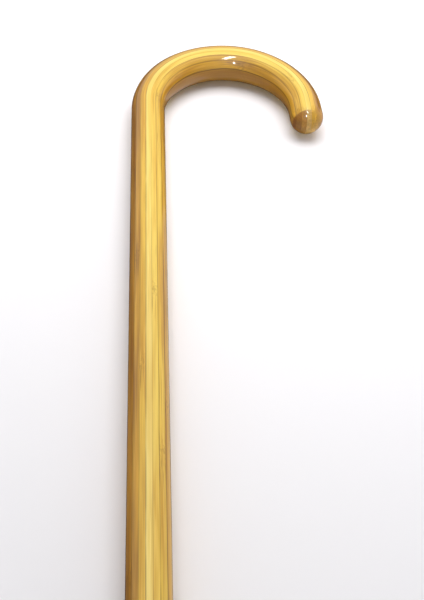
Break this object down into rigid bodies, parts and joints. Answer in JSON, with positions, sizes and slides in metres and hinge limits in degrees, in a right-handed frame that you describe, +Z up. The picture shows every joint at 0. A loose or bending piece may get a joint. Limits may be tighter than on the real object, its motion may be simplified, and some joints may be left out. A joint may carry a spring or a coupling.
{
  "type": "single point cane",
  "caption": "Walking cane with a round laminated shaft bent into a half-circle crook handle, and a flared rubber ferrule on its single foot.",
  "frame": {"origin": "centre of the ferrule's flat ground face", "axes": "+Z up the straight shaft, +X from the shaft towards the nose of the crook, Y across the crook's plane"},
  "size_m": [0.1357, 0.038, 0.9146],
  "materials": {
    "outer_face_strip": "varnished bamboo strip, high gloss clear coat",
    "outer_second_strip": "varnished bamboo strip, high gloss clear coat",
    "outer_core_strip": "varnished bamboo strip, high gloss clear coat",
    "core_strip": "varnished bamboo strip, high gloss clear coat",
    "inner_core_strip": "varnished bamboo strip, high gloss clear coat",
    "inner_second_strip": "varnished bamboo strip, high gloss clear coat",
    "inner_face_strip": "varnished bamboo strip, high gloss clear coat",
    "rubber_ferrule": "moulded matt rubber",
    "steel_washer": "zinc plated, dull"
  },
  "bodies": {
    "stick": {"outer_face_strip_shaft": "outer_face_strip", "outer_face_strip_crook": "outer_face_strip", "outer_second_strip_shaft": "outer_second_strip", "outer_second_strip_crook": "outer_second_strip", "outer_core_strip_shaft": "outer_core_strip", "outer_core_strip_crook": "outer_core_strip", "core_strip_shaft": "core_strip", "core_strip_crook": "core_strip", "inner_core_strip_shaft": "inner_core_strip", "inner_core_strip_crook": "inner_core_strip", "inner_second_strip_shaft": "inner_second_strip", "inner_second_strip_crook": "inner_second_strip", "inner_face_strip_shaft": "inner_face_strip", "inner_face_strip_crook": "inner_face_strip"},
    "ferrule": {"rubber_ferrule": "rubber_ferrule", "steel_washer": "steel_washer"}
  },
  "joints": [
    {"name": "ferrule_pull", "type": "slide", "parent": "stick", "child": "ferrule", "axis": [0, 0, -1], "range_m": [0, 0.045]}
  ]
}
